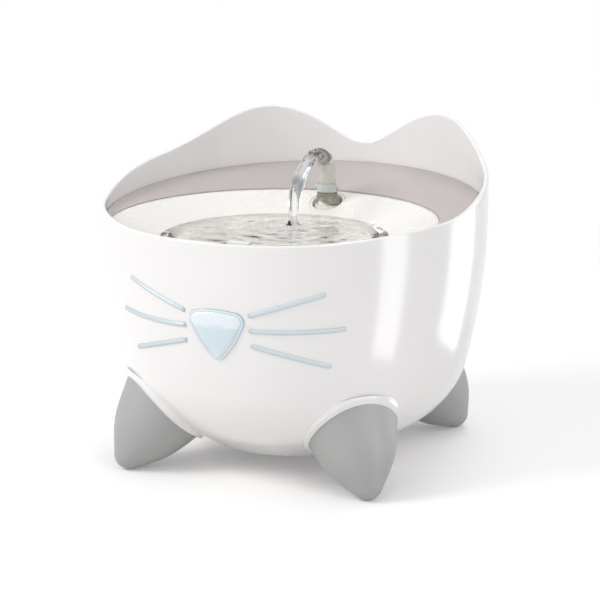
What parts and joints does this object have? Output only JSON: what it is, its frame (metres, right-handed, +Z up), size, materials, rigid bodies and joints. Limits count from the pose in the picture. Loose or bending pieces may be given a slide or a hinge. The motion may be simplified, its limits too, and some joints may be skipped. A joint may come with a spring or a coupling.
{
  "type": "pet water fountain",
  "caption": "Round pet drinking fountain with an eared bowl on rubber feet, a lift-off tray with a pool and a turning spout, a filter cartridge and a small pump.",
  "frame": {"origin": "on the ground under the middle of the bowl, at the bottom centre of its box", "axes": "+Z up, the nose looks along -Y, +X to the right seen from the front"},
  "size_m": [0.2504, 0.2504, 0.2115],
  "materials": {
    "white_shell": "glossy white moulded plastic",
    "grey_rubber": "soft matt grey rubber",
    "nose_blue": "glossy pale blue translucent plastic",
    "whisker_blue": "satin pale blue plastic",
    "deck_grey": "satin warm grey plastic",
    "dish_cream": "satin cream plastic",
    "clear_plastic": "clear polished plastic",
    "smoke_plastic": "smoke tinted plastic",
    "collar_grey": "satin light grey plastic",
    "clear_silicone": "translucent silicone",
    "pump_black": "satin black plastic",
    "magnet_grey": "bonded magnet",
    "ceramic": "polished ceramic",
    "filter_white": "satin white plastic",
    "cotton": "needled white felt",
    "carbon": "dark granules",
    "foam_black": "open cell foam",
    "water": "clear water"
  },
  "bodies": {
    "bowl": {"outer_shell": "white_shell", "front_left_foot": "grey_rubber", "front_right_foot": "grey_rubber", "rear_left_foot": "grey_rubber", "rear_right_foot": "grey_rubber", "nose_lens": "nose_blue", "left_upper_whisker": "whisker_blue", "left_middle_whisker": "whisker_blue", "left_lower_whisker": "whisker_blue", "right_upper_whisker": "whisker_blue", "right_middle_whisker": "whisker_blue", "right_lower_whisker": "whisker_blue", "cable_grommet": "grey_rubber"},
    "pump": {"pump_housing": "pump_black", "pump_gland": "grey_rubber", "light_window": "clear_plastic", "rotor_shaft": "ceramic", "rear_bush": "grey_rubber", "front_bush": "grey_rubber", "chamber_cover": "pump_black", "riser_coupling": "clear_silicone", "front_left_suction_cup": "clear_silicone", "front_right_suction_cup": "clear_silicone", "rear_left_suction_cup": "clear_silicone", "rear_right_suction_cup": "clear_silicone"},
    "rotor": {"pump_rotor": "magnet_grey"},
    "strainer": {"strainer_cover": "pump_black", "prefilter_foam": "foam_black"},
    "slider": {"flow_slider": "collar_grey"},
    "tray": {"tray_deck": "deck_grey", "drinking_dish": "dish_cream", "tray_seal": "clear_silicone", "spout_base": "clear_plastic", "riser_tube": "clear_plastic", "filter_holder": "filter_white"},
    "cartridge": {"filter_cup": "filter_white", "filter_cap": "filter_white", "cotton_pad": "cotton", "carbon_bed": "carbon"},
    "spout": {"spout_neck": "smoke_plastic", "spout_collar": "collar_grey", "spout_nozzle": "clear_plastic"}
  },
  "joints": [
    {"name": "pump_lift", "type": "slide", "parent": "bowl", "child": "pump", "axis": [0, 0, 1], "range_m": [0, 0.2]},
    {"name": "tray_lift", "type": "slide", "parent": "pump", "child": "tray", "axis": [0, 0, 1], "range_m": [0, 0.16]},
    {"name": "filter_lift", "type": "slide", "parent": "tray", "child": "cartridge", "axis": [0, 0, 1], "range_m": [0, 0.07]},
    {"name": "spout_turn", "type": "hinge", "parent": "tray", "child": "spout", "pos_m": [0, 0.056, 0.16], "axis": [0, 0, 1], "range_deg": [-45, 45]},
    {"name": "rotor_spin", "type": "hinge", "parent": "pump", "child": "rotor", "pos_m": [0, 0.036, 0.035], "axis": [0, 1, 0], "continuous": true},
    {"name": "strainer_pull", "type": "slide", "parent": "pump", "child": "strainer", "axis": [0, 1, 0], "range_m": [0, 0.006]},
    {"name": "flow_slide", "type": "slide", "parent": "strainer", "child": "slider", "axis": [1, 0, 0], "range_m": [0, 0.008]}
  ]
}
